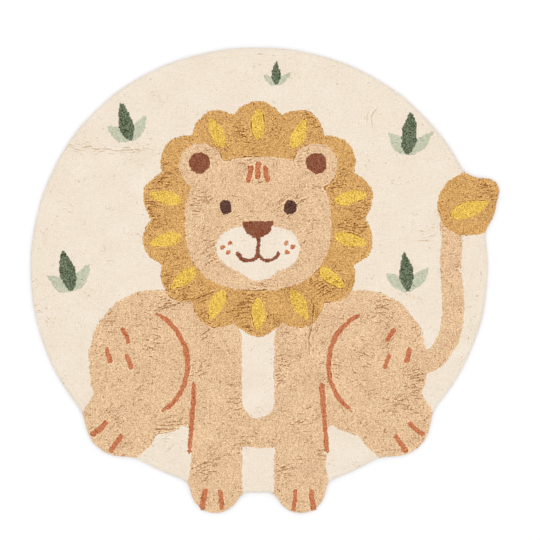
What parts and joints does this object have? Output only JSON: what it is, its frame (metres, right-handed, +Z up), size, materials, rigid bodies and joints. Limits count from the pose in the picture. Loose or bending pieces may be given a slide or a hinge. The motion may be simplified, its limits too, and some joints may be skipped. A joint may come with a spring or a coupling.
{
  "type": "tufted lion rug",
  "caption": "Flat, nearly round tufted rug for a child's room, with a lion's paws and tail tuft breaking its rim; it lies on a floor, pile up.",
  "frame": {"origin": "middle of the round field on the underside, at floor level", "axes": "+Z up through the pile; +Y towards the top of the picture, +X to its right"},
  "size_m": [1.1646, 1.1565, 0.0178],
  "materials": {
    "cream_pile": "cut cotton pile, matt, cream ground",
    "tan_pile": "cut cotton pile, matt, tan body and face",
    "ochre_pile": "cut cotton pile, matt, ochre mane and tail tuft",
    "gold_pile": "cut cotton pile, matt, gold petals in the mane",
    "dark_green_pile": "cut cotton pile, matt, dark leaves",
    "light_green_pile": "cut cotton pile, matt, light leaves",
    "rust_pile": "cut cotton pile, matt, drawn lines and toes",
    "brown_pile": "cut cotton pile, matt, nose, mouth and inner ears",
    "dark_brown_pile": "cut cotton pile, matt, eyes",
    "backing_cloth": "plain woven cotton, matt, underside"
  },
  "bodies": {
    "root": {"lion_rug": "cream_pile"}
  },
  "joints": []
}
